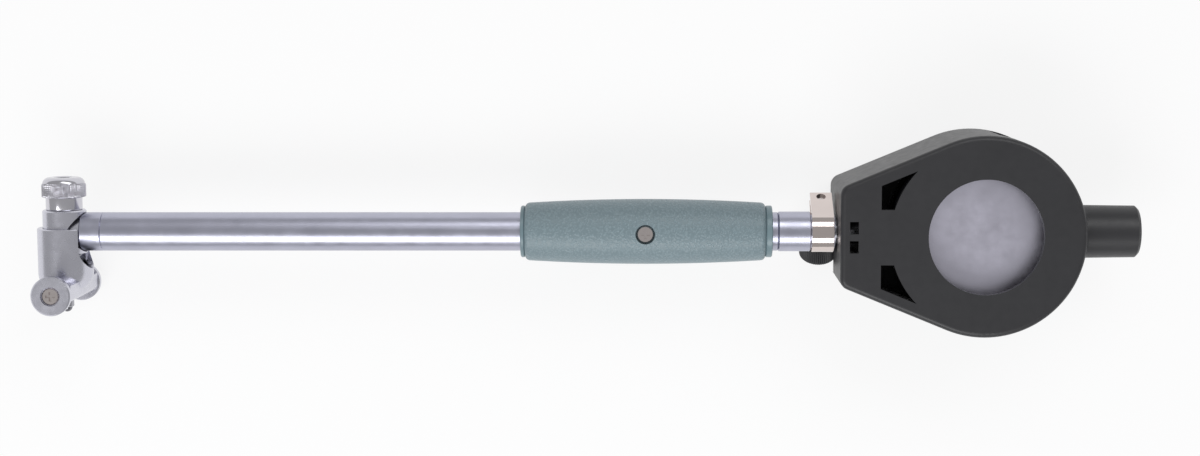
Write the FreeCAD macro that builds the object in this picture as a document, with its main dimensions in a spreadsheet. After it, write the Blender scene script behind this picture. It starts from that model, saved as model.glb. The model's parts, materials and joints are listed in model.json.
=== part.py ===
"""Dial bore gauge, lying on a table with its dial face down.

Row frame, in millimetres: +X runs along the tube from the measuring head to the dial, +Y is the
measuring direction towards the lock nut, and +Z points up from the table.
Every sub-part is drawn about the head point, where the measuring axis crosses the tube axis, and
HOME carries that point to its place in the row frame.
"""
import FreeCAD, Part
import math
import os
import re
import Sketcher

DOC = FreeCAD.newDocument("DialBoreGauge")
SHEET = DOC.addObject("Spreadsheet::Sheet", "Sizes")

SIZES = {
    # measuring head
    "core_od": 13.9,
    "core_top": 7.1,
    "core_foot": 10.4,
    "core_chamfer": 0.4,
    "scoop_r": 6.6,
    "scoop_start": 2.0,
    "boss_od": 10.4,
    "spigot_end": 22.0,
    "neck_start": 5.9,
    "neck_end": 12.7,
    "neck_od": 12.5,
    "edge_break": 0.3,
    "stud_od": 9.0,
    "stud_top": 13.6,
    "socket_od": 5.0,
    "socket_floor": 3.4,
    # lock nut on the head's stud
    "nut_skirt_od": 11.6,
    "nut_knurl_od": 14.2,
    "nut_knurl_start": 11.3,
    "nut_knurl_end": 15.65,
    "nut_top": 17.7,
    "nut_dome_r": 4.6,
    "nut_dome_radius": 7.5,
    "nut_roof": 14.2,
    # bell crank
    "crank_arm": 4.2,
    "crank_width": 1.8,
    "crank_web": 1.1,
    "crank_thickness": 2.4,
    "crank_hub_od": 3.0,
    "crank_pin_od": 1.5,
    "crank_pin_length": 5.6,
    "crank_slot_width": 3.0,
    "slot_left": 1.75,
    "slot_right": 6.1,
    "slot_top": 1.7,
    "slot_floor": 6.4,
    # plunger, its bush and the contact ball
    "travel": 1.6,
    "plunger_od": 4.5,
    "plunger_pin_od": 2.6,
    "plunger_collar_od": 6.2,
    "plunger_collar_top": 8.7,
    "bush_top": 9.5,
    "plunger_well_od": 6.4,
    "contact_foot": 24.6,
    "contact_ball_od": 3.4,
    # bridge with its two rollers
    "bridge_travel": 5.0,
    "bridge_bore": 14.1,
    "bridge_od": 17.5,
    "bridge_rim": 1.3,
    "bridge_straight_end": 13.5,
    "bridge_foot_r": 5.9,
    "bridge_foot_radius": 6.3,
    "bridge_floor": 15.7,
    "bar_foot": 21.3,
    "bar_width": 11.5,
    "bar_length": 33.0,
    "bar_edge": 1.6,
    "notch_width": 13.0,
    "notch_foot": 12.0,
    "core_window_half": 4.6,
    "core_window_top": 6.9,
    "bridge_spring_od": 10.4,
    "bridge_spring_wire": 0.8,
    "bridge_spring_turns": 5,
    "spring_well_top": 7.2,
    "spring_seat": 18.0,
    "guide_screw_od": 2.0,
    "guide_screw_height": 7.6,
    "guide_groove_depth": 1.2,
    "roller_axis": 18.7,
    "roller_od": 12.6,
    "roller_face": 19.5,
    "roller_thickness": 2.8,
    "roller_edge": 0.45,
    "roller_shoulder_od": 4.0,
    "roller_recess_od": 6.2,
    "roller_recess_depth": 1.3,
    "screw_head_od": 5.4,
    "screw_head_height": 1.1,
    "screw_shank_od": 3.0,
    "screw_shank_length": 7.0,
    "phillips_span": 3.0,
    "phillips_width": 0.8,
    "phillips_depth": 0.7,
    # tube, push rod and grip
    "tube_od": 12.5,
    "tube_bore": 10.4,
    "tube_end": 231.5,
    "rod_od": 2.5,
    "rod_end": 236.0,
    "rod_guide_od": 8.0,
    "front_guide_start": 13.5,
    "front_guide_length": 7.0,
    "rear_guide_start": 214.0,
    "rear_guide_length": 6.0,
    "rod_collar_start": 186.0,
    "rod_collar_length": 3.0,
    "rod_collar_od": 8.6,
    "rod_spring_od": 7.4,
    "rod_spring_wire": 0.7,
    "rod_spring_turns": 10,
    "grip_start": 149.5,
    "grip_end": 227.4,
    "grip_mid_od": 21.1,
    "grip_end_od": 18.8,
    "grip_edge": 1.6,
    "grip_barrel_r": 640.0,
    "lip_length": 1.3,
    "lip_rear_length": 2.1,
    "lip_od": 16.8,
    "grip_screw_station": 188.5,
    "grip_screw_seat": 8.1,
    "grip_recess_od": 6.3,
    "grip_shank_od": 2.5,
    "grip_shank_tip": 5.3,
    # end sleeve with its split collet and the stem clamp
    "sleeve_od": 12.9,
    "sleeve_end": 242.0,
    "sleeve_spigot_start": 222.0,
    "collet_od": 10.9,
    "collet_end": 249.8,
    "collet_slit": 1.0,
    "stem_od": 8.0,
    "stem_start": 243.0,
    "strap_start": 242.3,
    "strap_width": 7.1,
    "strap_thickness": 1.2,
    "strap_gap": 2.0,
    "clamp_lean": 58.0,
    "leg_length": 12.0,
    "clamp_screw_station": 9.8,
    "clamp_screw_od": 3.0,
    "knob_od": 12.4,
    "knob_end": 17.5,
    "knob_length": 8.5,
    "knob_neck_od": 5.0,
    "knob_edge": 0.8,
    # dial guard
    "guard_start": 250.3,
    "guard_half_width": 15.8,
    "guard_corner": 3.6,
    "dial_station": 296.5,
    "guard_r": 32.2,
    "guard_wall": 2.2,
    "guard_front": 20.5,
    "guard_back": 18.5,
    "guard_plate": 2.2,
    "guard_edge": 1.7,
    "front_opening_od": 53.0,
    "window_od": 36.8,
    "vent_left": 33.4,
    "vent_inner": 8.8,
    "vent_inset": 4.3,
    "vent_arc_r": 30.5,
    "snap_station": 254.6,
    "snap_length": 2.8,
    "snap_width": 3.9,
    "snap_offset": 3.05,
    "finger_low_angle": 24.0,
    "finger_high_angle": 80.0,
    "finger_top": 6.0,
    "finger_foot": 18.4,
    "stub_od": 17.2,
    "stub_end": 348.0,
    "stub_wall": 2.5,
    "stub_flare": 2.2,
    "stub_chamfer": 0.9,
    "guard_screw_station": 257.3,
    "guard_screw_offset": 10.4,
    "guard_boss_od": 5.4,
    "guard_screw_od": 2.2,
    "guard_screw_head_od": 4.2,
    "guard_screw_length": 34.0,
    "knob_relief": 1.0,
    # dial indicator
    "case_od": 52.0,
    "case_wall": 2.0,
    "case_back": 8.0,
    "case_front": 9.0,
    "case_front_wall": 1.4,
    "cover_od": 50.8,
    "cover_thickness": 2.4,
    "cover_edge": 0.8,
    "bezel_od": 56.6,
    "bezel_front": 17.0,
    "bezel_lip": 1.6,
    "dial_gap": 0.3,
    "dial_thickness": 0.5,
    "dial_od": 51.4,
    "dial_centre_od": 30.0,
    "crystal_thickness": 1.2,
    "plate_od": 46.0,
    "plate_thickness": 1.0,
    "plate_depth": 2.9,
    "post_od": 3.0,
    "post_ring_r": 20.0,
    "spindle_od": 4.0,
    "rack_flat": 1.4,
    "rack_half_length": 12.0,
    "spindle_end": 332.0,
    "spindle_cap_od": 8.0,
    "spindle_cap_length": 5.0,
    "spindle_tip_od": 3.2,
    "spindle_tip_length": 2.4,
    "spindle_bush_od": 7.0,
    "rack_pinion_r": 1.5915,
    "drive_gear_teeth": 100,
    "centre_pinion_teeth": 10,
    "gear_module": 0.2,
    "gear_thickness": 1.0,
    "gear_front": 6.4,
    "arbor_od": 1.4,
    "pointer_height": 2.2,
    "pointer_thickness": 0.4,
    "pointer_reach": 22.0,
    "pointer_tail": 6.5,
    "pointer_half_width": 0.75,
    "pointer_hub_od": 3.6,
    "counter_height": 1.0,
    "counter_reach": 3.2,
    # fits
    "running_fit": 0.05,
    "contact_gap": 0.03,
    "face_gap": 0.2,
}

for row, (alias, size) in enumerate(SIZES.items(), start=1):
    SHEET.set(f"A{row}", alias)
    SHEET.set(f"B{row}", str(size))
    SHEET.setAlias(f"B{row}", alias)
DOC.recompute()

# The slope of the guard's side walls, which run tangent to its round end.
GUARD_RUN = "(dial_station - guard_start)"
GUARD_REACH = f"sqrt({GUARD_RUN}^2 + guard_half_width^2)"
SLOPE = f"(90 deg - atan(guard_half_width / {GUARD_RUN}) - acos(guard_r / {GUARD_REACH}))"

# The lowest point is the thumb knob's rim, and the two ends are the bridge and the guard's stub.
HOME = (
    "-(stub_end - bridge_od / 2) / 2",
    "0",
    "(clamp_screw_station + knob_od / 2 - knob_edge) * sin(clamp_lean)"
    " + (knob_end - knob_edge) * cos(clamp_lean) + knob_edge",
)

# Place of the drive arbor: its pinion meets the spindle's rack flat and its wheel the centre pinion.
DRIVE_Y = "(rack_flat + rack_pinion_r)"
GEAR_CENTRES = "((drive_gear_teeth + centre_pinion_teeth) * gear_module / 2)"
DRIVE_X = f"(dial_station - sqrt({GEAR_CENTRES}^2 - {DRIVE_Y}^2))"

AXIS_TURN = {
    "X": FreeCAD.Rotation(FreeCAD.Vector(0, 1, 0), 90),
    "Y": FreeCAD.Rotation(FreeCAD.Vector(1, 0, 0), -90),
    "Z": FreeCAD.Rotation(),
}
NODES = []


def bound(text):
    """The expression with every size name pointed at the sheet."""
    return re.sub(r"[a-z_]+", lambda word: "Sizes." + word[0] if word[0] in SIZES else word[0], str(text))


def number(text):
    """The present value of an expression."""
    return float(SHEET.evalExpression(bound(text)))


def bind(item, **expressions):
    """Bind properties, with a double underscore for the dot in a property's path."""
    for path, text in expressions.items():
        item.setExpression(path.replace("__", "."), bound(text))


def set_base(item, place):
    """Bind the base of a placement to three expressions."""
    bind(item, Placement__Base__x=place[0], Placement__Base__y=place[1], Placement__Base__z=place[2])


def at_home(place):
    """A place about the head point, carried to the row frame."""
    return [f"{home} + {offset}" for home, offset in zip(HOME, place)]


def new_body(node, place=("0", "0", "0")):
    """A body that becomes one node of the model."""
    body = DOC.addObject("PartDesign::Body", node)
    body.Label = node
    set_base(body, at_home(place))
    NODES.append(body)
    return body


def origin_plane(body, role):
    return next(item for item in body.Origin.OriginFeatures if item.Role == role)


def arc_between(start, end, radius):
    """The short arc from start to end; a positive radius has its centre on the left."""
    half = (end - start) * 0.5
    side = FreeCAD.Vector(-half.y, half.x, 0).normalize() * math.copysign(1, radius)
    rise = math.sqrt(max(radius ** 2 - half.Length ** 2, 0))
    centre = start + half + side * rise
    return Part.Arc(start, centre - side * abs(radius), end)


def draw(body, name, role, outline, offset="0"):
    """A closed sketch. A point is (x, y), or (x, y, radius) where an arc arrives at it."""
    sketch = body.newObject("Sketcher::SketchObject", name)
    sketch.AttachmentSupport = [(origin_plane(body, role), "")]
    sketch.MapMode = "FlatFace"
    bind(sketch, AttachmentOffset__Base__z=offset)
    corners = [FreeCAD.Vector(number(point[0]), number(point[1]), 0) for point in outline]
    count = len(outline)
    ends = []
    for index in range(count):
        start, end = corners[index], corners[(index + 1) % count]
        arriving = outline[(index + 1) % count]
        curved = len(arriving) == 3
        shape = arc_between(start, end, number(arriving[2])) if curved else Part.LineSegment(start, end)
        sketch.addGeometry(shape, False)
        forward = sketch.getPoint(index, 1).distanceToPoint(start) < sketch.getPoint(index, 2).distanceToPoint(start)
        ends.append((1, 2) if forward else (2, 1))
        if curved:
            radius = sketch.addConstraint(Sketcher.Constraint("Radius", index, abs(number(arriving[2]))))
            sketch.setExpression(f"Constraints[{radius}]", bound(f"abs({arriving[2]})"))
    for index, point in enumerate(outline):
        before = (index - 1) % count
        sketch.addConstraint(Sketcher.Constraint("Coincident", before, ends[before][1], index, ends[index][0]))
        for kind, text in (("DistanceX", point[0]), ("DistanceY", point[1])):
            distance = Sketcher.Constraint(kind, -1, 1, index, ends[index][0], number(text))
            sketch.setExpression(f"Constraints[{sketch.addConstraint(distance)}]", bound(text))
    return sketch


def turn(body, name, axis, outline):
    """Add a revolution about the body's X, Y or Z axis; outline points are (along, radius)."""
    role = "XZ_Plane" if axis == "Z" else "XY_Plane"
    if axis != "X":
        outline = [(point[1], point[0]) + tuple(f"-({bulge})" for bulge in point[2:]) for point in outline]
    sketch = draw(body, name + "_outline", role, outline)
    feature = body.newObject("PartDesign::Revolution", name)
    feature.Profile = sketch
    feature.ReferenceAxis = (sketch, ["H_Axis" if axis == "X" else "V_Axis"])
    feature.Angle = 360
    return feature


def pad(body, name, role, outline, offset, length, cut=False):
    """Pad or pocket an outline from offset along the plane's normal."""
    sketch = draw(body, name + "_outline", role, outline, offset)
    feature = body.newObject("PartDesign::Pocket" if cut else "PartDesign::Pad", name)
    feature.Profile = sketch
    feature.Reversed = cut
    bind(feature, Length=length)
    return feature


def box(body, name, low, high, cut=False):
    """Add or cut a block between two corners."""
    feature = body.newObject("PartDesign::SubtractiveBox" if cut else "PartDesign::AdditiveBox", name)
    spans = [f"({top}) - ({bottom})" for bottom, top in zip(low, high)]
    bind(feature, Length=spans[0], Width=spans[1], Height=spans[2])
    set_base(feature, low)
    return feature


def cylinder(body, name, axis, start, radius, length, cut=False):
    """Add or cut a cylinder that runs from start along a positive axis."""
    kind = "PartDesign::SubtractiveCylinder" if cut else "PartDesign::AdditiveCylinder"
    feature = body.newObject(kind, name)
    feature.Placement = FreeCAD.Placement(FreeCAD.Vector(), AXIS_TURN[axis])
    bind(feature, Radius=radius, Height=length)
    set_base(feature, start)
    return feature


def phillips(body, axis, face, centre, inward):
    """Cut a cross recess into a screw head; inward is the sign of the way in along the axis."""
    half_span, half_width = "phillips_span / 2", "phillips_width / 2"
    for name, first, second in (("slot_one", half_span, half_width), ("slot_two", half_width, half_span)):
        low = [f"{centre[0]} - {first}", f"{centre[1]} - {second}"]
        high = [f"{centre[0]} + {first}", f"{centre[1]} + {second}"]
        floor = f"{face} {inward} phillips_depth"
        low.insert({"X": 0, "Y": 1, "Z": 2}[axis], floor if inward == "-" else face)
        high.insert({"X": 0, "Y": 1, "Z": 2}[axis], face if inward == "-" else floor)
        box(body, name, low, high, cut=True)


def spring(node, axis, start, end, outer, wire, turns, centre=("0", "0")):
    """A coil spring along an axis, drawn as a round wire on a helix."""
    place = {"X": (start, centre[0], centre[1]), "Y": (centre[0], start, centre[1])}[axis]
    body = new_body(node, place)
    body.Placement = FreeCAD.Placement(FreeCAD.Vector(), AXIS_TURN[axis])
    set_base(body, at_home(place))
    sketch = body.newObject("Sketcher::SketchObject", "wire_outline")
    sketch.AttachmentSupport = [(origin_plane(body, "XZ_Plane"), "")]
    sketch.MapMode = "FlatFace"
    middle = FreeCAD.Vector(number(f"({outer} - {wire}) / 2"), number(f"{wire} / 2"), 0)
    sketch.addGeometry(Part.Circle(middle, FreeCAD.Vector(0, 0, 1), number(f"{wire} / 2")), False)
    for kind, text, about in (
        ("DistanceX", f"({outer} - {wire}) / 2", (-1, 1, 0, 3)),
        ("DistanceY", f"{wire} / 2", (-1, 1, 0, 3)),
        ("Radius", f"{wire} / 2", (0,)),
    ):
        index = sketch.addConstraint(Sketcher.Constraint(kind, *about, number(text)))
        sketch.setExpression(f"Constraints[{index}]", bound(text))
    coil = body.newObject("PartDesign::AdditiveHelix", "coil")
    coil.Profile = sketch
    coil.ReferenceAxis = (sketch, ["V_Axis"])
    coil.Mode = 1
    rise = f"(({end}) - ({start}) - {wire})"
    bind(coil, Pitch=f"{rise} / {turns}", Turns=turns, Height=rise)
    return body


def turned_node(node, axis, outline, place=("0", "0", "0")):
    """A sub-part that is one revolution."""
    body = new_body(node, place)
    turn(body, "turning", axis, outline)
    return body


# ---------------------------------------------------------------- measuring head

def make_head_body():
    """Upright core with the side boss that enters the tube, the anvil socket and the lever slot."""
    body = new_body("head_body")
    core_r = "core_od / 2"
    turn(body, "core", "Y", [
        ("-core_foot", "0"),
        ("-core_foot", f"{core_r} - core_chamfer"),
        ("-core_foot + core_chamfer", core_r),
        ("core_top - core_chamfer", core_r),
        ("core_top", f"{core_r} - core_chamfer"),
        ("core_top", "stud_od / 2"),
        ("stud_top - core_chamfer", "stud_od / 2"),
        ("stud_top", "stud_od / 2 - core_chamfer"),
        ("stud_top", "0"),
    ])
    cylinder(body, "scoop", "X", ("scoop_start", "0", "0"), "scoop_r", core_r, cut=True)
    cylinder(body, "boss", "X", ("0", "0", "0"), "boss_od / 2", "spigot_end")
    cylinder(body, "anvil_socket", "Y", ("0", "socket_floor", "0"), "socket_od / 2", "stud_top", cut=True)
    half_slot = "crank_slot_width / 2"
    box(body, "lever_slot", ("-slot_left", "-slot_floor", f"-{half_slot}"),
        ("slot_right", "slot_top", half_slot), cut=True)
    cylinder(body, "plunger_well", "Y", ("0", "-core_foot", "0"), "plunger_well_od / 2",
             "core_foot - slot_floor - 0.6", cut=True)
    cylinder(body, "plunger_pin_hole", "Y", ("0", "-core_foot", "0"), "plunger_pin_od / 2 + running_fit",
             "core_foot - slot_floor + 1", cut=True)
    cylinder(body, "rod_way", "X", ("slot_right - 0.5", "0", "0"), "rod_od / 2 + 0.3", "spigot_end", cut=True)
    cylinder(body, "guide_seat", "X", ("front_guide_start", "0", "0"), "rod_guide_od / 2",
             "spigot_end", cut=True)
    cylinder(body, "pin_hole", "Z", ("crank_arm", "-crank_arm", "-crank_pin_length / 2"),
             "crank_pin_od / 2", "crank_pin_length", cut=True)
    turn_spring_well(body)
    box(body, "side_window", ("bridge_spring_od / 2 - 2", "-core_foot", "-core_window_half"),
        (core_r, "-core_window_top", "core_window_half"), cut=True)
    groove_half = "(guide_screw_od / 2 + running_fit)"
    box(body, "guide_groove", (f"-{core_r}", "-guide_screw_height - guide_screw_od", f"-{groove_half}"),
        (f"-{core_r} + guide_groove_depth", "-guide_screw_height + bridge_travel + guide_screw_od", groove_half),
        cut=True)


def turn_spring_well(body):
    """The ring-shaped pocket in the core's foot that the bridge spring rises into."""
    outline = [
        ("-core_foot", "bridge_spring_od / 2 - bridge_spring_wire - 0.15"),
        ("-core_foot", "bridge_spring_od / 2 + 0.15"),
        ("-spring_well_top", "bridge_spring_od / 2 + 0.15"),
        ("-spring_well_top", "bridge_spring_od / 2 - bridge_spring_wire - 0.15"),
    ]
    sketch = draw(body, "spring_well_outline", "XY_Plane", [(point[1], point[0]) for point in outline])
    groove = body.newObject("PartDesign::Groove", "spring_well")
    groove.Profile = sketch
    groove.ReferenceAxis = (sketch, ["V_Axis"])
    groove.Angle = 360


def make_neck_ring():
    turned_node("neck_ring", "X", [
        ("neck_start", "boss_od / 2"),
        ("neck_start", "neck_od / 2 - edge_break"),
        ("neck_start + edge_break", "neck_od / 2"),
        ("neck_end - edge_break", "neck_od / 2"),
        ("neck_end", "neck_od / 2 - edge_break"),
        ("neck_end", "boss_od / 2"),
    ])


def make_anvil_nut():
    """Knurled lock nut that closes the socket on a measuring anvil."""
    turned_node("anvil_nut", "Y", [
        ("core_top + contact_gap", "stud_od / 2 + running_fit"),
        ("core_top + contact_gap", "nut_skirt_od / 2"),
        ("nut_knurl_start", "nut_skirt_od / 2"),
        ("nut_knurl_start", "nut_knurl_od / 2 - edge_break"),
        ("nut_knurl_start + edge_break", "nut_knurl_od / 2"),
        ("nut_knurl_end - edge_break", "nut_knurl_od / 2"),
        ("nut_knurl_end", "nut_knurl_od / 2 - edge_break"),
        ("nut_top", "nut_dome_r", "-nut_dome_radius"),
        ("nut_top", "socket_od / 2"),
        ("nut_roof", "socket_od / 2"),
        ("nut_roof", "stud_od / 2 + running_fit"),
    ])


def make_contact_bush():
    turned_node("contact_bush", "Y", [
        ("-core_foot", "plunger_od / 2 + running_fit"),
        ("-core_foot", "plunger_well_od / 2"),
        ("-bush_top", "plunger_well_od / 2"),
        ("-bush_top", "plunger_od / 2 + running_fit"),
    ])


def make_contact_plunger():
    """Sliding contact: its pin meets the lever's round nose, set back by half the travel."""
    pin_top = "-(crank_arm + crank_width / 2 + contact_gap + travel / 2)"
    turned_node("contact_plunger", "Y", [
        ("-contact_foot", "0"),
        ("-contact_foot", "plunger_od / 2 - edge_break"),
        ("-contact_foot + edge_break", "plunger_od / 2"),
        ("-bush_top + face_gap", "plunger_od / 2"),
        ("-bush_top + face_gap", "plunger_collar_od / 2"),
        ("-plunger_collar_top", "plunger_collar_od / 2"),
        ("-plunger_collar_top", "plunger_pin_od / 2"),
        (pin_top, "plunger_pin_od / 2"),
        (pin_top, "0"),
    ])


def make_contact_ball():
    ball_r = "contact_ball_od / 2"
    turned_node("contact_ball", "Y", [
        (f"-contact_foot - {ball_r}", "0"),
        ("-contact_foot", ball_r, f"-{ball_r}"),
        ("-contact_foot", "0"),
    ])


def make_bell_crank():
    """Right-angled lever, drawn at mid travel and turned back by half the travel."""
    body = new_body("bell_crank", ("crank_arm", "-crank_arm", "0"))
    body.Placement = FreeCAD.Placement(FreeCAD.Vector(), FreeCAD.Rotation(FreeCAD.Vector(0, 0, 1), 1))
    set_base(body, at_home(("crank_arm", "-crank_arm", "0")))
    bind(body, Placement__Rotation__Angle="atan(travel / 2 / crank_arm)")
    half, nose = "crank_web / 2", "crank_width / 2"
    foot = "-crank_thickness / 2"
    cylinder(body, "hub", "Z", ("0", "0", foot), "crank_hub_od / 2", "crank_thickness")
    box(body, "plunger_arm", ("-crank_arm", f"-{half}", foot), ("0", half, "crank_thickness / 2"))
    box(body, "rod_arm", (f"-{half}", "0", foot), (half, "crank_arm", "crank_thickness / 2"))
    cylinder(body, "plunger_nose", "Z", ("-crank_arm", "0", foot), nose, "crank_thickness")
    cylinder(body, "rod_nose", "Z", ("0", "crank_arm", foot), nose, "crank_thickness")
    cylinder(body, "pivot_hole", "Z", ("0", "0", foot), "crank_pin_od / 2 + running_fit", "crank_thickness",
             cut=True)


def make_bell_crank_pin():
    body = new_body("bell_crank_pin")
    cylinder(body, "pin", "Z", ("crank_arm", "-crank_arm", "-crank_pin_length / 2"),
             "crank_pin_od / 2", "crank_pin_length")


# ---------------------------------------------------------------- bridge and rollers

def make_bridge():
    """Sleeve that slides on the core, with a cross bar for the two rollers."""
    body = new_body("bridge")
    outer, bore = "bridge_od / 2", "bridge_bore / 2"
    turn(body, "sleeve", "Y", [
        ("-roller_axis", "0"),
        ("-roller_axis", "bridge_foot_r"),
        ("-bridge_straight_end", outer, "-bridge_foot_radius"),
        ("bridge_rim - edge_break", outer),
        ("bridge_rim", f"{outer} - edge_break"),
        ("bridge_rim", bore),
        ("-bridge_floor", bore),
        ("-bridge_floor", "0"),
    ])
    box(body, "cross_bar", ("-bar_width / 2", "-bar_foot", "-bar_length / 2"),
        ("bar_width / 2", "-bridge_floor", "bar_length / 2"))
    round_edges(body, "bar_rounding", edges_where(body, is_bar_edge), "bar_edge")
    cylinder(body, "notch_round", "X", ("0", "notch_width / 2 - notch_foot", "0"), "notch_width / 2", outer,
             cut=True)
    box(body, "notch", ("0", "notch_width / 2 - notch_foot", "-notch_width / 2"),
        (outer, "bridge_rim", "notch_width / 2"), cut=True)
    cylinder(body, "plunger_hole", "Y", ("0", "-bar_foot", "0"), "plunger_od / 2 + 0.35", "bar_foot", cut=True)
    cylinder(body, "spring_seat_hole", "Y", ("0", "-spring_seat", "0"), "bridge_spring_od / 2 + 0.15",
             "spring_seat - bridge_floor", cut=True)
    for name, start in (("front_thread", "bar_length / 2 - screw_shank_length"), ("back_thread", "-bar_length / 2")):
        cylinder(body, name, "Z", ("0", "-roller_axis", start), "screw_shank_od / 2", "screw_shank_length",
                 cut=True)
    cylinder(body, "guide_screw_hole", "X", (f"-{outer}", "-guide_screw_height", "0"), "guide_screw_od / 2",
             "bridge_od / 2 - bridge_bore / 2 + 0.3", cut=True)


def is_bar_edge(edge):
    """True for the cross bar's long lower edges and the upright edges of its two ends."""
    low, high = edge.BoundBox.YMin, edge.BoundBox.YMax
    half_length = number("bar_length / 2")
    at_side = abs(abs(edge.CenterOfMass.x) - number("bar_width / 2")) < 0.01
    lower = at_side and abs(low + number("bar_foot")) < 0.01 and high - low < 0.01
    end_face = abs(abs(edge.CenterOfMass.z) - half_length) < 0.01
    return lower and not end_face


def edges_where(body, test):
    """Names of the edges of a body's present shape that pass a test."""
    DOC.recompute()
    shape = body.Tip.Shape
    return [f"Edge{index}" for index, edge in enumerate(shape.Edges, start=1) if test(edge)]


def round_edges(body, name, edges, radius):
    base = body.Tip
    feature = body.newObject("PartDesign::Fillet", name)
    feature.Base = (base, edges)
    bind(feature, Radius=radius)
    return feature


def make_roller(node, side):
    """Disc roller with a recess for its screw; side is the sign of its end of the bar."""
    inner = "roller_face - roller_thickness"
    turned_node(node, "Z", [
        (f"{side}({inner})", "roller_shoulder_od / 2 + running_fit"),
        (f"{side}({inner})", "roller_od / 2 - roller_edge"),
        (f"{side}({inner} + roller_edge)", "roller_od / 2"),
        (f"{side}(roller_face - roller_edge)", "roller_od / 2"),
        (f"{side}(roller_face)", "roller_od / 2 - roller_edge"),
        (f"{side}(roller_face)", "roller_recess_od / 2"),
        (f"{side}(roller_face - roller_recess_depth)", "roller_recess_od / 2"),
        (f"{side}(roller_face - roller_recess_depth)", "roller_shoulder_od / 2 + running_fit"),
    ], ("0", "-roller_axis", "0"))


def make_roller_screw(node, side):
    """Shoulder screw that the roller turns on."""
    body = new_body(node, ("0", "-roller_axis", "0"))
    seat = "roller_face - roller_recess_depth + running_fit"
    face = f"{seat} + screw_head_height"
    turn(body, "screw", "Z", [
        (f"{side}(bar_length / 2 - screw_shank_length)", "0"),
        (f"{side}(bar_length / 2 - screw_shank_length)", "screw_shank_od / 2"),
        (f"{side}(bar_length / 2)", "screw_shank_od / 2"),
        (f"{side}(bar_length / 2)", "roller_shoulder_od / 2"),
        (f"{side}({seat})", "roller_shoulder_od / 2"),
        (f"{side}({seat})", "screw_head_od / 2"),
        (f"{side}({face} - edge_break)", "screw_head_od / 2"),
        (f"{side}({face})", "screw_head_od / 2 - edge_break"),
        (f"{side}({face})", "0"),
    ])
    phillips(body, "Z", f"{side}({face})", ("0", "0"), "+" if side == "-" else "-")


def make_bridge_guide_screw():
    """Grub screw whose tip rides in the core's groove and keeps the bridge from turning."""
    body = new_body("bridge_guide_screw")
    cylinder(body, "grub", "X", ("-bridge_od / 2 + 0.1", "-guide_screw_height", "0"), "guide_screw_od / 2",
             "bridge_od / 2 - core_od / 2 + guide_groove_depth - 0.3")


# ---------------------------------------------------------------- tube, rod and grip

def make_tube():
    body = turned_node("tube", "X", [
        ("neck_end", "tube_bore / 2"),
        ("neck_end", "tube_od / 2 - edge_break / 2"),
        ("neck_end + edge_break / 2", "tube_od / 2"),
        ("tube_end - edge_break", "tube_od / 2"),
        ("tube_end", "tube_od / 2 - edge_break"),
        ("tube_end", "tube_bore / 2"),
    ])
    cylinder(body, "grip_screw_hole", "Z", ("grip_screw_station", "0", "0"), "grip_shank_od / 2", "tube_od",
             cut=True)


def make_rod_parts():
    """Push rod, its collar and the two guides that carry it along the tube."""
    rod_start = "crank_arm + crank_width / 2 + contact_gap - travel / 2"
    turned_node("push_rod", "X", [
        (rod_start, "0"),
        (rod_start, "rod_od / 2"),
        ("rod_end", "rod_od / 2"),
        ("rod_end", "0"),
    ])
    for node, start, length, outer in (
        ("rod_guide_front", "front_guide_start", "front_guide_length", "rod_guide_od / 2"),
        ("rod_guide_rear", "rear_guide_start", "rear_guide_length", "tube_bore / 2"),
    ):
        turned_node(node, "X", [
            (start, "rod_od / 2 + running_fit"),
            (start, outer),
            (f"{start} + {length}", outer),
            (f"{start} + {length}", "rod_od / 2 + running_fit"),
        ])
    turned_node("rod_collar", "X", [
        ("rod_collar_start", "rod_od / 2"),
        ("rod_collar_start", "rod_collar_od / 2"),
        ("rod_collar_start + rod_collar_length", "rod_collar_od / 2"),
        ("rod_collar_start + rod_collar_length", "rod_od / 2"),
    ])


def make_grip():
    """Barrel-shaped handle cover with smooth end rings."""
    body = turned_node("grip", "X", [
        ("grip_start", "tube_od / 2"),
        ("grip_start", "grip_end_od / 2 - grip_edge"),
        ("grip_start + grip_edge", "grip_end_od / 2", "-grip_edge"),
        ("(grip_start + grip_end) / 2", "grip_mid_od / 2", "-grip_barrel_r"),
        ("grip_end - grip_edge", "grip_end_od / 2", "-grip_barrel_r"),
        ("grip_end", "grip_end_od / 2 - grip_edge", "-grip_edge"),
        ("grip_end", "tube_od / 2"),
    ])
    cylinder(body, "screw_recess", "Z", ("grip_screw_station", "0", "grip_screw_seat"), "grip_recess_od / 2",
             "grip_mid_od", cut=True)
    cylinder(body, "shank_hole", "Z", ("grip_screw_station", "0", "0"), "grip_shank_od / 2", "grip_mid_od",
             cut=True)
    for node, start, end in (
        ("grip_ring_front", "grip_start - lip_length", "grip_start"),
        ("grip_ring_rear", "grip_end", "grip_end + lip_rear_length"),
    ):
        turned_node(node, "X", [
            (start, "tube_od / 2"),
            (start, "lip_od / 2 - edge_break"),
            (f"{start} + edge_break", "lip_od / 2"),
            (f"{end} - edge_break", "lip_od / 2"),
            (end, "lip_od / 2 - edge_break"),
            (end, "tube_od / 2"),
        ])


def make_grip_screw():
    body = new_body("grip_screw", ("grip_screw_station", "0", "0"))
    face = "grip_screw_seat + screw_head_height"
    turn(body, "screw", "Z", [
        ("grip_shank_tip", "0"),
        ("grip_shank_tip", "grip_shank_od / 2"),
        ("grip_screw_seat", "grip_shank_od / 2"),
        ("grip_screw_seat", "screw_head_od / 2"),
        (f"{face} - edge_break", "screw_head_od / 2"),
        (face, "screw_head_od / 2 - edge_break"),
        (face, "0"),
    ])
    phillips(body, "Z", face, ("0", "0"), "-")


# ---------------------------------------------------------------- end sleeve and clamp

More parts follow.
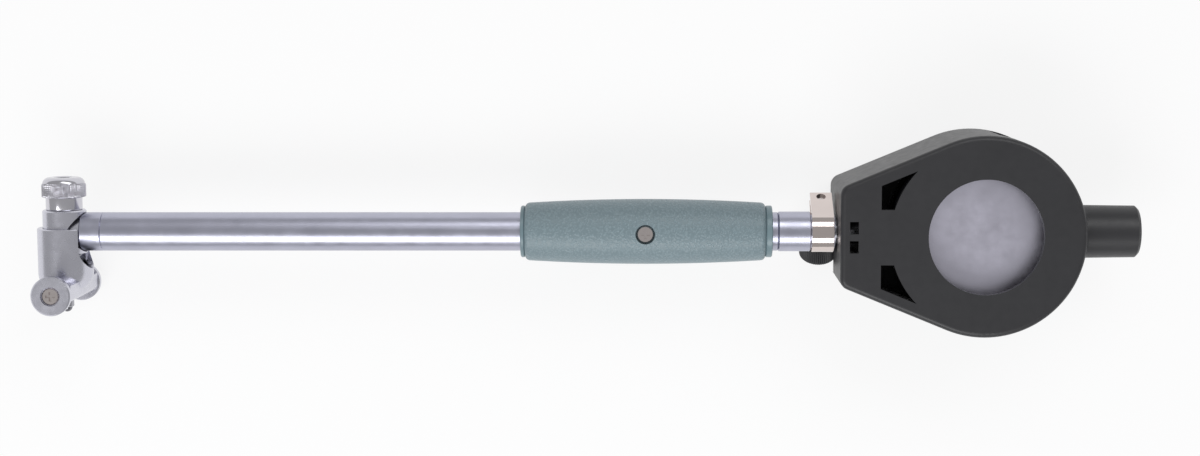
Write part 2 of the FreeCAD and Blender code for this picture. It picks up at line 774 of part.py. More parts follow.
def make_end_sleeve():
    """Sleeve that plugs the tube and ends in a split collet for the indicator's stem."""
    body = turned_node("end_sleeve", "X", [
        ("sleeve_spigot_start", "rod_od / 2 + 1"),
        ("sleeve_spigot_start", "tube_bore / 2"),
        ("tube_end", "tube_bore / 2"),
        ("tube_end", "sleeve_od / 2 - edge_break"),
        ("tube_end + edge_break", "sleeve_od / 2"),
        ("sleeve_end - edge_break", "sleeve_od / 2"),
        ("sleeve_end", "sleeve_od / 2 - edge_break"),
        ("sleeve_end", "collet_od / 2"),
        ("collet_end", "collet_od / 2"),
        ("collet_end", "stem_od / 2"),
        ("stem_start", "stem_od / 2"),
        ("stem_start", "rod_od / 2 + 1"),
    ])
    box(body, "slit", ("stem_start", "-collet_slit / 2", "0"), ("collet_end", "collet_slit / 2", "collet_od / 2"),
        cut=True)


def lean_body(node, place):
    """A body whose Z axis is the clamp screw's axis; its Y axis runs along the clamp's legs."""
    body = new_body(node, place)
    body.Placement = FreeCAD.Placement(FreeCAD.Vector(), FreeCAD.Rotation(FreeCAD.Vector(-1, 0, 0), 1))
    set_base(body, at_home(place))
    bind(body, Placement__Rotation__Angle="clamp_lean")
    return body


CLAMP_BORE = "(collet_od / 2 + running_fit)"
BACK_LEG_TOP = f"({CLAMP_BORE} - strap_gap)"


def make_stem_clamp():
    """Bent strap around the collet, with two legs that the thumb screw draws together."""
    body = lean_body("stem_clamp", ("strap_start", "0", "0"))
    loop_r = f"({CLAMP_BORE} + strap_thickness)"
    cylinder(body, "loop", "X", ("0", "0", "0"), loop_r, "strap_width")
    box(body, "front_leg", ("0", "0", CLAMP_BORE), ("strap_width", "leg_length", loop_r))
    cylinder(body, "loop_bore", "X", ("0", "0", "0"), CLAMP_BORE, "strap_width", cut=True)
    box(body, "leg_gap", ("0", "0", BACK_LEG_TOP), ("strap_width", "leg_length", CLAMP_BORE), cut=True)
    leg_root = f"sqrt({CLAMP_BORE}^2 - ({BACK_LEG_TOP} - strap_thickness)^2)"
    box(body, "back_leg", ("0", leg_root, f"{BACK_LEG_TOP} - strap_thickness"),
        ("strap_width", "leg_length", BACK_LEG_TOP))
    cylinder(body, "screw_hole", "Z", ("strap_width / 2", "clamp_screw_station", "0"),
             "clamp_screw_od / 2 + running_fit", loop_r, cut=True)


def make_clamp_screw():
    """Thumb screw: the steel screw and its knob turn together."""
    place = ("strap_start + strap_width / 2", "0", "0")
    knob_face = "-knob_end + knob_length"
    leg_back = f"{BACK_LEG_TOP} - strap_thickness - contact_gap"
    screw = lean_body("clamp_screw", place)
    cylinder(screw, "shank", "Z", ("0", "clamp_screw_station", knob_face), "clamp_screw_od / 2",
             f"{CLAMP_BORE} + strap_thickness / 4 - ({knob_face})")
    neck_r = "knob_neck_od / 2"
    knob = lean_body("clamp_knob", place)
    cylinder(knob, "grip", "Z", ("0", "clamp_screw_station", "-knob_end"), "knob_od / 2", "knob_length")
    rims = edges_where(knob, lambda edge: edge.Curve.TypeId == "Part::GeomCircle")
    round_edges(knob, "rim_rounding", rims, "knob_edge")
    cylinder(knob, "neck", "Z", ("0", "clamp_screw_station", f"{knob_face} - 1"), neck_r,
             f"{leg_back} - ({knob_face}) + 1")
    cylinder(knob, "screw_seat", "Z", ("0", "clamp_screw_station", knob_face), "clamp_screw_od / 2",
             "knob_end", cut=True)


# ---------------------------------------------------------------- dial guard

def guard_outline(inset, corner):
    """Teardrop outline, set in from the guard's outer face, with rounded corners at its square end."""
    slope = SLOPE
    left = f"(guard_start + {inset})"
    half = f"(guard_half_width + {inset} * tan({slope}) - {inset} / cos({slope}))"
    radius = f"(guard_r - {inset})"
    run = f"({corner} * tan((90 deg - {slope}) / 2))"
    tangent_x = f"dial_station - {radius} * sin({slope})"
    tangent_y = f"{radius} * cos({slope})"
    return [
        (left, f"-{half} + {run}"),
        (f"{left} + {run} * cos({slope})", f"-{half} - {run} * sin({slope})", corner),
        (tangent_x, f"-{tangent_y}"),
        (f"dial_station + {radius}", "0", radius),
        (tangent_x, tangent_y, radius),
        (f"{left} + {run} * cos({slope})", f"{half} + {run} * sin({slope})"),
        (left, f"{half} - {run}", corner),
    ]


def make_guard_housing():
    """Side wall, front ring and the hollow stub that covers the spindle's cap."""
    body = new_body("guard_housing")
    seam = "guard_back - guard_plate"
    pad(body, "shell", "XY_Plane", guard_outline("0", "guard_corner"), "-guard_front", f"{seam} + guard_front")
    hollow = guard_outline("guard_wall", "(guard_corner - guard_wall)")
    pad(body, "hollow", "XY_Plane", hollow, "-guard_front + guard_wall", f"{seam} + guard_front - guard_wall",
        cut=True)
    for name, side in (("upper_boss", ""), ("lower_boss", "-")):
        cylinder(body, name, "Z", ("guard_screw_station", f"{side}guard_screw_offset", "-guard_front"),
                 "guard_boss_od / 2", f"{seam} + guard_front")
    stub_r = "stub_od / 2"
    flare_root = "dial_station + guard_r - guard_wall / 2"
    turn(body, "stub", "X", [
        (flare_root, "0"),
        (flare_root, f"{stub_r} + stub_flare"),
        ("dial_station + guard_r + stub_flare", stub_r, "stub_flare * 1.6"),
        ("stub_end - stub_chamfer", f"{stub_r} - 0.2"),
        ("stub_end", f"{stub_r} - 0.2 - stub_chamfer"),
        ("stub_end", "0"),
    ])
    cylinder(body, "stub_hollow", "X", ("dial_station + guard_r - guard_wall * 2", "0", "0"),
             f"{stub_r} - stub_wall", "stub_end - dial_station - guard_r + guard_wall * 2 - stub_wall", cut=True)
    cylinder(body, "front_opening", "Z", ("dial_station", "0", "-guard_front"), "front_opening_od / 2",
             "guard_wall", cut=True)
    cylinder(body, "stem_hole", "X", ("guard_start", "0", "0"), "stem_od / 2 + running_fit", "guard_wall * 2",
             cut=True)
    for name, side in (("upper_thread", ""), ("lower_thread", "-")):
        cylinder(body, name, "Z", ("guard_screw_station", f"{side}guard_screw_offset", "-guard_front"),
                 "guard_screw_od / 2", "guard_screw_length", cut=True)
        cylinder(body, name + "_head", "Z", ("guard_screw_station", f"{side}guard_screw_offset", "-guard_front"),
                 "guard_screw_head_od / 2 + running_fit", "screw_head_height", cut=True)
    for name, side in (("upper_finger_gap", ""), ("lower_finger_gap", "-")):
        pad(body, name, "XY_Plane", finger_outline(side), "-finger_foot", "finger_foot + finger_top", cut=True)
    knob_r = "(knob_od / 2 + knob_relief)"
    box(body, "knob_relief", ("guard_start", "-guard_half_width", "-guard_front"),
        (f"strap_start + strap_width / 2 + {knob_r}", "0", "-stem_od"), cut=True)


def finger_outline(side):
    """Wedge that opens the side wall over the bezel between two angles about the dial's centre."""
    reach = "(guard_r + 1)"
    inner = "(guard_r - guard_wall - 0.5)"
    low = "finger_low_angle"
    high = "finger_high_angle"
    points = [
        (f"dial_station + {inner} * cos({low})", f"{inner} * sin({low})"),
        (f"dial_station + {reach} * cos({low})", f"{reach} * sin({low})"),
        (f"dial_station + {reach} * cos({high})", f"{reach} * sin({high})", reach),
        (f"dial_station + {inner} * cos({high})", f"{inner} * sin({high})"),
    ]
    closing = inner
    if side:
        points = [(point[0], f"-{point[1]}") + tuple(f"-{bulge}" for bulge in point[2:]) for point in points]
        closing = f"-{inner}"
    points[0] = (points[0][0], points[0][1], f"-{closing}" if not side else inner)
    return points


def make_guard_back_cover():
    """Flat back plate with the round window, two vents and two snap holes."""
    body = new_body("guard_back_cover")
    seam = "guard_back - guard_plate"
    pad(body, "plate", "XY_Plane", guard_outline("0", "guard_corner"), seam, "guard_plate")
    top = number("guard_back")
    rim = edges_where(body, lambda edge: abs(edge.BoundBox.ZMin - top) < 0.01)
    round_edges(body, "rim_rounding", rim, "guard_edge")
    cylinder(body, "window", "Z", ("dial_station", "0", seam), "window_od / 2", "guard_plate", cut=True)
    for name, side in (("upper_vent", ""), ("lower_vent", "-")):
        pad(body, name, "XY_Plane", vent_outline(side), seam, "guard_plate", cut=True)
    for name, side in (("upper_snap", "+"), ("lower_snap", "-")):
        box(body, name, ("snap_station - snap_length / 2", f"{side}snap_offset - snap_width / 2", seam),
            ("snap_station + snap_length / 2", f"{side}snap_offset + snap_width / 2", "guard_back"), cut=True)
    for name, side in (("upper_pilot", ""), ("lower_pilot", "-")):
        start = "-guard_front + guard_screw_length"
        cylinder(body, name, "Z", ("guard_screw_station", f"{side}guard_screw_offset", seam),
                 "guard_screw_od / 2", f"{start} - ({seam}) + 3", cut=True)


def vent_outline(side):
    """Three-sided vent: two straight edges, one along the slope, and an arc about the dial's centre."""
    slope = SLOPE
    line_r = "(guard_r - vent_inset)"
    along = f"sqrt(vent_arc_r^2 - {line_r}^2)"
    left = "(dial_station - vent_left)"
    far_x = f"(dial_station - {line_r} * sin({slope}) - {along} * cos({slope}))"
    far_y = f"({line_r} * cos({slope}) - {along} * sin({slope}))"
    left_y = f"({far_y} - ({far_x} - {left}) * tan({slope}))"
    inner_x = "(dial_station - sqrt(vent_arc_r^2 - vent_inner^2))"
    return [
        (left, f"{side}vent_inner"),
        (left, f"{side}{left_y}"),
        (far_x, f"{side}{far_y}"),
        (inner_x, f"{side}vent_inner", "-vent_arc_r" if side else "vent_arc_r"),
    ]


def make_guard_screw(node, side):
    body = new_body(node, ("guard_screw_station", f"{side}guard_screw_offset", "-guard_front"))
    turn(body, "screw", "Z", [
        ("0", "0"),
        ("0", "guard_screw_head_od / 2 - edge_break"),
        ("edge_break", "guard_screw_head_od / 2"),
        ("screw_head_height", "guard_screw_head_od / 2"),
        ("screw_head_height", "guard_screw_od / 2"),
        ("guard_screw_length", "guard_screw_od / 2"),
        ("guard_screw_length", "0"),
    ])
    phillips(body, "Z", "0", ("0", "0"), "+")


# ---------------------------------------------------------------- dial indicator

AT_DIAL = ("dial_station", "0", "0")


def make_indicator_stem():
    turned_node("indicator_stem", "X", [
        ("stem_start", "spindle_od / 2 + running_fit"),
        ("stem_start", "stem_od / 2 - edge_break"),
        ("stem_start + edge_break", "stem_od / 2"),
        ("dial_station - case_od / 2 + case_wall", "stem_od / 2"),
        ("dial_station - case_od / 2 + case_wall", "spindle_od / 2 + running_fit"),
    ])


def make_indicator_case():
    """Cup that holds the movement, open at the back."""
    body = turned_node("indicator_case", "Z", [
        ("-case_front", "arbor_od / 2 + running_fit"),
        ("-case_front", "case_od / 2"),
        ("case_back", "case_od / 2"),
        ("case_back", "case_od / 2 - case_wall"),
        ("-case_front + case_front_wall", "case_od / 2 - case_wall"),
        ("-case_front + case_front_wall", "arbor_od / 2 + running_fit"),
    ], AT_DIAL)
    cylinder(body, "stem_hole", "X", ("-case_od / 2 - 1", "0", "0"), "stem_od / 2", "case_wall * 2", cut=True)
    cylinder(body, "bush_hole", "X", ("case_od / 2 - case_wall * 2", "0", "0"), "spindle_bush_od / 2",
             "case_wall * 2 + 1", cut=True)
    cylinder(body, "counter_hole", "Z", (f"{DRIVE_X} - dial_station", f"-{DRIVE_Y}", "-case_front"),
             "arbor_od / 2 + running_fit", "case_front_wall", cut=True)


def make_indicator_back():
    turned_node("indicator_back", "Z", [
        ("case_back", "0"),
        ("case_back", "cover_od / 2"),
        ("case_back + cover_thickness - cover_edge", "cover_od / 2"),
        ("case_back + cover_thickness", "cover_od / 2 - cover_edge"),
        ("case_back + cover_thickness", "0"),
    ], AT_DIAL)


def make_spindle_bush():
    turned_node("spindle_bush", "X", [
        ("dial_station + case_od / 2 - case_wall", "spindle_od / 2 + running_fit"),
        ("dial_station + case_od / 2 - case_wall", "spindle_bush_od / 2"),
        ("dial_station + case_od / 2 + 1.6", "spindle_bush_od / 2"),
        ("dial_station + case_od / 2 + 1.6", "spindle_od / 2 + running_fit"),
    ])


def make_movement_plate():
    """Round plate that carries the arbors' inner pivots, on three posts from the case's front wall."""
    body = new_body("movement_plate", AT_DIAL)
    cylinder(body, "plate", "Z", ("0", "0", "-plate_depth - plate_thickness"), "plate_od / 2", "plate_thickness")
    for index, angle in enumerate((30, 150, 280), start=1):
        cylinder(body, f"post_{index}", "Z",
                 (f"post_ring_r * cos({angle})", f"post_ring_r * sin({angle})", "-case_front + case_front_wall"),
                 "post_od / 2", "case_front - case_front_wall - plate_depth")
    cylinder(body, "centre_pivot", "Z", ("0", "0", "-case_front"), "arbor_od / 2 + running_fit", "case_front",
             cut=True)
    cylinder(body, "drive_pivot", "Z", (f"{DRIVE_X} - dial_station", f"-{DRIVE_Y}", "-case_front"),
             "arbor_od / 2 + running_fit", "case_front", cut=True)


def make_spindle_parts():
    """Spindle with its rack flat, the hardened tip that meets the push rod, and the lifting cap."""
    tip_start = "rod_end + contact_gap"
    body = turned_node("spindle", "X", [
        (f"{tip_start} + spindle_tip_length", "0"),
        (f"{tip_start} + spindle_tip_length", "spindle_od / 2"),
        ("spindle_end", "spindle_od / 2"),
        ("spindle_end", "0"),
    ])
    box(body, "rack_flat", (f"{DRIVE_X} - rack_half_length", "-spindle_od / 2", "-spindle_od / 2"),
        (f"{DRIVE_X} + rack_half_length", "-rack_flat", "spindle_od / 2"), cut=True)
    turned_node("spindle_tip", "X", [
        (tip_start, "0"),
        (f"{tip_start} + spindle_tip_length", "spindle_tip_od / 2", "-spindle_tip_length * 1.2"),
        (f"{tip_start} + spindle_tip_length", "0"),
    ])
    turned_node("spindle_cap", "X", [
        ("spindle_end", "0"),
        ("spindle_end", "spindle_cap_od / 2"),
        ("spindle_end + spindle_cap_length - edge_break", "spindle_cap_od / 2"),
        ("spindle_end + spindle_cap_length", "spindle_cap_od / 2 - edge_break"),
        ("spindle_end + spindle_cap_length", "0"),
    ])


def make_gear_train():
    """Arbors, wheels and hands. The wheels are plain discs at their pitch circles."""
    drive = (DRIVE_X, f"-{DRIVE_Y}", "0")
    half_rack = "spindle_od / 2"
    dial_back = "case_front + dial_gap"
    counter_front = f"{dial_back} + dial_thickness + counter_height"
    pointer_front = f"{dial_back} + dial_thickness + pointer_height"

    arbor = new_body("drive_arbor", drive)
    cylinder(arbor, "arbor", "Z", ("0", "0", f"-({counter_front})"), "arbor_od / 2", counter_front)
    cylinder(arbor, "rack_pinion", "Z", ("0", "0", f"-{half_rack}"), "rack_pinion_r - contact_gap", "spindle_od")

    wheel_r = "drive_gear_teeth * gear_module / 2"
    gear = new_body("drive_gear", drive)
    cylinder(gear, "wheel", "Z", ("0", "0", "-gear_front"), f"{wheel_r} - contact_gap", "gear_thickness")
    cylinder(gear, "bore", "Z", ("0", "0", "-gear_front"), "arbor_od / 2", "gear_thickness", cut=True)

    centre = new_body("centre_arbor", AT_DIAL)
    cylinder(centre, "arbor", "Z", ("0", "0", f"-({pointer_front})"), "arbor_od / 2",
             f"{pointer_front} - plate_depth - plate_thickness / 2")
    cylinder(centre, "pinion", "Z", ("0", "0", "-gear_front"), "centre_pinion_teeth * gear_module / 2",
             "gear_thickness")

    hand = new_body("pointer", AT_DIAL)
    hand_foot = f"-({pointer_front})"
    pad(hand, "hand", "XY_Plane", [
        ("pointer_tail", "-pointer_half_width"),
        ("pointer_tail", "pointer_half_width"),
        ("-pointer_reach", "0.12"),
        ("-pointer_reach", "-0.12"),
    ], hand_foot, "pointer_thickness")
    cylinder(hand, "hub", "Z", ("0", "0", hand_foot), "pointer_hub_od / 2", "pointer_thickness * 2")
    cylinder(hand, "bore", "Z", ("0", "0", hand_foot), "arbor_od / 2", "pointer_thickness * 2", cut=True)

    counter = new_body("counter_pointer", drive)
    counter_foot = f"-({counter_front})"
    pad(counter, "hand", "XY_Plane", [
        ("1.4", "-0.4"),
        ("1.4", "0.4"),
        ("-counter_reach", "0.1"),
        ("-counter_reach", "-0.1"),
    ], counter_foot, "pointer_thickness")
    cylinder(counter, "hub", "Z", ("0", "0", counter_foot), "arbor_od / 2 + 0.4", "pointer_thickness")
    cylinder(counter, "bore", "Z", ("0", "0", counter_foot), "arbor_od / 2", "pointer_thickness", cut=True)


def make_dial_faces():
    """Fixed centre disc with the turn counter, and the scale ring that turns with the bezel."""
    dial_back = "-case_front - dial_gap"
    dial_front = f"{dial_back} - dial_thickness"
    centre = new_body("dial_centre", AT_DIAL)
    cylinder(centre, "disc", "Z", ("0", "0", dial_front), "dial_centre_od / 2", "dial_thickness")
    cylinder(centre, "spacer", "Z", ("0", "0", dial_back), "dial_centre_od / 4", "dial_gap")
    cylinder(centre, "arbor_hole", "Z", ("0", "0", dial_front), "arbor_od / 2 + running_fit",
             "dial_thickness + dial_gap", cut=True)
    cylinder(centre, "counter_hole", "Z", (f"{DRIVE_X} - dial_station", f"-{DRIVE_Y}", dial_front),
             "arbor_od / 2 + running_fit", "dial_thickness + dial_gap", cut=True)
    turned_node("dial_ring", "Z", [
        (dial_front, "dial_centre_od / 2 + running_fit"),
        (dial_front, "dial_od / 2"),
        (dial_back, "dial_od / 2"),
        (dial_back, "dial_centre_od / 2 + running_fit"),
    ], AT_DIAL)


def make_bezel():
    """Knurled ring that turns on the case and holds the crystal and the scale ring."""
    case_r = "case_od / 2"
    dial_front = "-case_front - dial_gap - dial_thickness"
    overlap = "1.8"
    turned_node("bezel", "Z", [
        (f"-case_front + {overlap}", f"{case_r} + running_fit"),
        (f"-case_front + {overlap}", "bezel_od / 2 - edge_break"),
        (f"-case_front + {overlap} - edge_break", "bezel_od / 2"),
        ("-bezel_front + bezel_lip", "bezel_od / 2"),
        ("-bezel_front", "bezel_od / 2 - bezel_lip"),
        ("-bezel_front", f"{case_r} - bezel_lip"),
        ("-bezel_front + bezel_lip / 2", f"{case_r} - bezel_lip"),
        ("-bezel_front + bezel_lip / 2", "dial_od / 2"),
        (dial_front, "dial_od / 2"),
        ("-case_front - dial_gap", "dial_od / 2"),
        ("-case_front - dial_gap", f"{case_r} + running_fit"),
    ], AT_DIAL)
    turned_node("crystal", "Z", [
        ("-bezel_front + bezel_lip / 2", "0"),
        ("-bezel_front + bezel_lip / 2", "dial_od / 2"),
        ("-bezel_front + bezel_lip / 2 + crystal_thickness", "dial_od / 2"),
        ("-bezel_front + bezel_lip / 2 + crystal_thickness", "0"),
    ], AT_DIAL)


# ---------------------------------------------------------------- build, test and write

def make_all():
    make_head_body()
    make_neck_ring()
    make_anvil_nut()
    make_contact_bush()
    make_contact_plunger()
    make_contact_ball()
    make_bell_crank()
    make_bell_crank_pin()
    make_bridge()
    make_bridge_guide_screw()
    for suffix, side in (("front", ""), ("back", "-")):
        make_roller(f"roller_{suffix}", side)
        make_roller_screw(f"roller_screw_{suffix}", side)
    spring("bridge_spring", "Y", "-spring_seat", "-spring_well_top", "bridge_spring_od", "bridge_spring_wire",
           "bridge_spring_turns")
    make_tube()
    make_rod_parts()
    spring("rod_spring", "X", "rod_collar_start + rod_collar_length", "rear_guide_start", "rod_spring_od",
           "rod_spring_wire", "rod_spring_turns")
    make_grip()
    make_grip_screw()
    make_end_sleeve()
    make_stem_clamp()
    make_clamp_screw()
    make_guard_housing()
    make_guard_back_cover()
    make_guard_screw("guard_screw_upper", "")
    make_guard_screw("guard_screw_lower", "-")
    make_indicator_stem()
    make_indicator_case()
    make_indicator_back()
    make_spindle_bush()
    make_movement_plate()
    make_spindle_parts()
    make_gear_train()
    make_dial_faces()
    make_bezel()


def faults():
    """Objects that failed to build, and nodes with no sound shape."""
    found = [f"{item.Label}: {item.State}" for item in DOC.Objects if {"Invalid", "Error"} & set(item.State)]
    for node in NODES:
        if node.Shape.isNull() or not node.Shape.isValid() or not node.Shape.Solids:
            found.append(f"{node.Label}: no valid solid")
    return found


make_all()
DOC.recompute()
problems = faults()
if problems:
    raise RuntimeError("; ".join(problems))
os.makedirs("parts", exist_ok=True)
for node in NODES:
    node.Shape.exportStep(f"parts/{node.Label}.step")
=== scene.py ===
import json
import math

import bmesh
import bpy
from mathutils import Matrix, Vector


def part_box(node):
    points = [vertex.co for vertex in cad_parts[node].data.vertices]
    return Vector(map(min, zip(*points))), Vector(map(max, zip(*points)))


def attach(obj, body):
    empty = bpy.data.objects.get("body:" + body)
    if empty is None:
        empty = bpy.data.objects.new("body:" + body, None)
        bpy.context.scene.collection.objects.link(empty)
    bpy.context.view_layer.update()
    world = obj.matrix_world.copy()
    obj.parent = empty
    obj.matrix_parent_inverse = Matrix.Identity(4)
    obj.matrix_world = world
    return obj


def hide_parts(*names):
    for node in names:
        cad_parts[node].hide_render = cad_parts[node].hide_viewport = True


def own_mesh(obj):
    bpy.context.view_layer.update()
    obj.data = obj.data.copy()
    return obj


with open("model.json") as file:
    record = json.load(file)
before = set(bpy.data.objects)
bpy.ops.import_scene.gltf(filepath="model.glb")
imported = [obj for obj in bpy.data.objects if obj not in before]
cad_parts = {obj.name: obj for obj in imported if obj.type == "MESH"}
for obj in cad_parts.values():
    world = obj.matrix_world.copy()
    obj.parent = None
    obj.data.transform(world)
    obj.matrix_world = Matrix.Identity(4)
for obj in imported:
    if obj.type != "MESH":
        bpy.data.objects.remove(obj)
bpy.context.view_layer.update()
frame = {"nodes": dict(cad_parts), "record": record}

NODES = frame["nodes"]
JOINTS = {joint["name"]: joint for joint in frame["record"]["behaviour"]["joints"]}
MM = 0.001


def joint_line(name):
    """A point on a hinge's axis and the axis, in the row frame."""
    joint = JOINTS[name]
    return Vector(joint["pos_m"]), Vector(joint["axis"]).normalized()


# ---------------------------------------------------------------- materials

def linear(*channels):
    """Display colour, 0 to 255, as a linear RGBA colour."""
    values = [channel / 255 for channel in channels]
    return [v / 12.92 if v <= 0.04045 else ((v + 0.055) / 1.055) ** 2.4 for v in values] + [1]


class Shader:
    """One principled material and the few texture nodes that give it its detail."""

    def __init__(self, name, colour, metallic=0.0, roughness=0.4, **sockets):
        self.material = bpy.data.materials.new(name)
        self.material.use_nodes = True
        self.tree = self.material.node_tree
        self.shader = self.tree.nodes["Principled BSDF"]
        self.material.diffuse_color = colour
        sockets.update({"Base Color": colour, "Metallic": metallic, "Roughness": roughness})
        for socket, value in sockets.items():
            self.shader.inputs[socket].default_value = value

    def add(self, kind, inputs=None, **settings):
        node = self.tree.nodes.new(kind)
        for setting, value in settings.items():
            setattr(node, setting, value)
        for socket, value in (inputs or {}).items():
            if isinstance(value, bpy.types.NodeSocket):
                self.tree.links.new(value, node.inputs[socket])
            else:
                node.inputs[socket].default_value = value
        return node

    def place(self, stretch=(1, 1, 1)):
        """Object coordinates, stretched along the axes."""
        coordinates = self.add("ShaderNodeTexCoord")
        inputs = {"Vector": coordinates.outputs["Object"], "Scale": stretch}
        return self.add("ShaderNodeMapping", inputs).outputs[0]

    def noise(self, scale, detail=3.0, stretch=(1, 1, 1), roughness=0.55):
        inputs = {"Vector": self.place(stretch), "Scale": scale, "Detail": detail, "Roughness": roughness}
        return self.add("ShaderNodeTexNoise", inputs).outputs["Fac"]

    def spread(self, source, low, high):
        """A factor spread over low to high."""
        inputs = {"Value": source, "From Min": 0.25, "From Max": 0.75, "To Min": low, "To Max": high}
        return self.add("ShaderNodeMapRange", inputs).outputs[0]

    def tint(self, source, first, second):
        """Base colour that wanders between two colours."""
        mix = self.add("ShaderNodeMix", data_type="RGBA")
        self.tree.links.new(self.spread(source, 0, 1), mix.inputs[0])
        mix.inputs[6].default_value = first
        mix.inputs[7].default_value = second
        self.tree.links.new(mix.outputs[2], self.shader.inputs["Base Color"])
        return self

    def gloss(self, source, low, high):
        """Roughness that wanders between two values."""
        self.tree.links.new(self.spread(source, low, high), self.shader.inputs["Roughness"])
        return self

    def bump(self, height, depth, strength=1.0):
        """Relief of one height field, depth in metres."""
        node = self.add("ShaderNodeBump", {"Height": height, "Distance": depth, "Strength": strength})
        self.tree.links.new(node.outputs[0], self.shader.inputs["Normal"])
        return self


def scaled(colour, factor):
    return [min(channel * factor, 1) for channel in colour[:3]] + [1]


def metal(name, colour, roughness, grain=(1, 1, 1), depth=0.4e-6, wear=0.05, grain_scale=900):
    """Metal with fine tool marks along its grain and slightly uneven gloss."""
    look = Shader(name, colour, 1.0, roughness)
    look.tint(look.noise(90, 4), scaled(colour, 1 - wear), scaled(colour, 1 + wear))
    look.gloss(look.noise(260, 5), roughness * 0.82, roughness * 1.18)
    look.bump(look.noise(grain_scale, 4, grain), depth)
    return look.material


def plastic(name, colour, roughness, grain_scale=5200, depth=4e-6, wear=0.08):
    """Moulded plastic with a fine spark-eroded grain."""
    look = Shader(name, colour, 0.0, roughness)
    look.tint(look.noise(60, 4), scaled(colour, 1 - wear), scaled(colour, 1 + wear))
    look.gloss(look.noise(420, 3), roughness * 0.9, roughness * 1.12)
    look.bump(look.noise(grain_scale, 3), depth)
    return look.material


def pebbled(name, colour):
    """Leather-like pebbles pressed into plastic, with painted shade in the hollows between them and painted
    light on their tops.
    """
    look = Shader(name, colour, 0.0, 0.36)
    place = look.place()
    wander = look.add("ShaderNodeTexNoise", {"Vector": place, "Scale": 700.0, "Detail": 2.0})
    shift = {"Fac": 0.0012, "Color1": place, "Color2": wander.outputs["Color"]}
    shifted = look.add("ShaderNodeMixRGB", shift).outputs[0]
    cells = look.add("ShaderNodeTexVoronoi", {"Vector": shifted, "Scale": 1500.0}, feature="SMOOTH_F1")
    cells.inputs["Smoothness"].default_value = 0.6
    height = look.add("ShaderNodeMapRange", {
        "Value": cells.outputs["Distance"], "From Min": 0.15, "From Max": 0.65, "To Min": 1.0, "To Max": 0.0,
    }, interpolation_type="SMOOTHSTEP").outputs[0]
    # Painted shade and painted light: the colour darkens in the hollows between pebbles and lightens on their
    # tops, following the bump height.
    mix = look.add("ShaderNodeMix", data_type="RGBA")
    look.tree.links.new(height, mix.inputs[0])
    mix.inputs[6].default_value = scaled(colour, 0.86)
    mix.inputs[7].default_value = scaled(colour, 1.06)
    look.tree.links.new(mix.outputs[2], look.shader.inputs["Base Color"])
    look.bump(height, 0.11e-3, 0.8)
    return look.material


def clear(name):
    look = Shader(name, (1, 1, 1, 1), 0.0, 0.02)
    look.shader.inputs["Transmission Weight"].default_value = 1.0
    look.shader.inputs["IOR"].default_value = 1.46
    look.gloss(look.noise(500, 3), 0.0, 0.03)
    return look.material


ALONG_TUBE = (6, 0.25, 0.25)
ACROSS_HEAD = (0.25, 5, 0.25)
ABOUT_FACE = (0.3, 0.3, 5)

MATERIALS = {
    "satin_steel": metal("satin_steel", linear(203, 203, 213), 0.27, ACROSS_HEAD),
    "satin_aluminium": metal("satin_aluminium", linear(182, 183, 198), 0.33, ALONG_TUBE),
    "bright_chrome": metal("bright_chrome", linear(204, 203, 210), 0.16, ACROSS_HEAD, 0.2e-6),
    "strap_nickel": metal("strap_nickel", linear(214, 203, 199), 0.09, ALONG_TUBE, 0.15e-6),
    "screw_steel": metal("screw_steel", linear(206, 198, 196), 0.2, (1, 1, 1), 0.3e-6),
    "spring_steel": metal("spring_steel", linear(150, 151, 156), 0.25, (1, 1, 1)),
    "hard_steel": metal("hard_steel", linear(168, 168, 174), 0.24, ALONG_TUBE),
    "carbide": metal("carbide", linear(120, 120, 126), 0.1, (1, 1, 1), 0.1e-6),
    "brass_gear": metal("brass_gear", linear(203, 172, 108), 0.28, ABOUT_FACE),
    "grip_plastic": pebbled("grip_plastic", linear(124, 142, 149)),
    "grip_smooth": plastic("grip_smooth", linear(112, 132, 139), 0.3, 2400, 3e-6),
    "black_plastic": plastic("black_plastic", linear(40, 40, 43), 0.42),
    "cover_aluminium": metal(
        "cover_aluminium", linear(200, 198, 212), 0.38, depth=0.5e-6, grain_scale=2600),
    "black_steel": metal("black_steel", linear(44, 44, 48), 0.35),
    "dial_paint": plastic("dial_paint", linear(238, 238, 232), 0.45, 3000, 1e-6, 0.02),
    "hand_paint": plastic("hand_paint", linear(22, 22, 24), 0.3, 3000, 1e-6),
    "crystal_clear": clear("crystal_clear"),
}
SMOOTH_RINGS = ("grip_ring_front", "grip_ring_rear")


def dress(piece, material):
    piece.data.materials.clear()
    piece.data.materials.append(MATERIALS[material])


def dress_frame():
    """Give each carried-over node the material of its slot."""
    for part in frame["record"]["subparts"]:
        node, slot = part["node"], part["material_slot"]
        dress(NODES[node], "grip_smooth" if node in SMOOTH_RINGS else slot)


# ---------------------------------------------------------------- mesh builders

def add_piece(name, mesh, body, slot, material=None, crease=32):
    """Make an object of a mesh, shade it, and let it ride on a body."""
    piece = bpy.data.objects.new(name, mesh)
    bpy.context.scene.collection.objects.link(piece)
    for face in mesh.polygons:
        face.use_smooth = True
    mesh.set_sharp_from_angle(angle=math.radians(crease))
    dress(piece, material or slot)
    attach(piece, body)
    return piece


def axis_frame(point, axis):
    """Matrix whose Z runs along an axis through a point."""
    turn = axis.to_track_quat("Z", "Y").to_matrix().to_4x4()
    return Matrix.Translation(point) @ turn


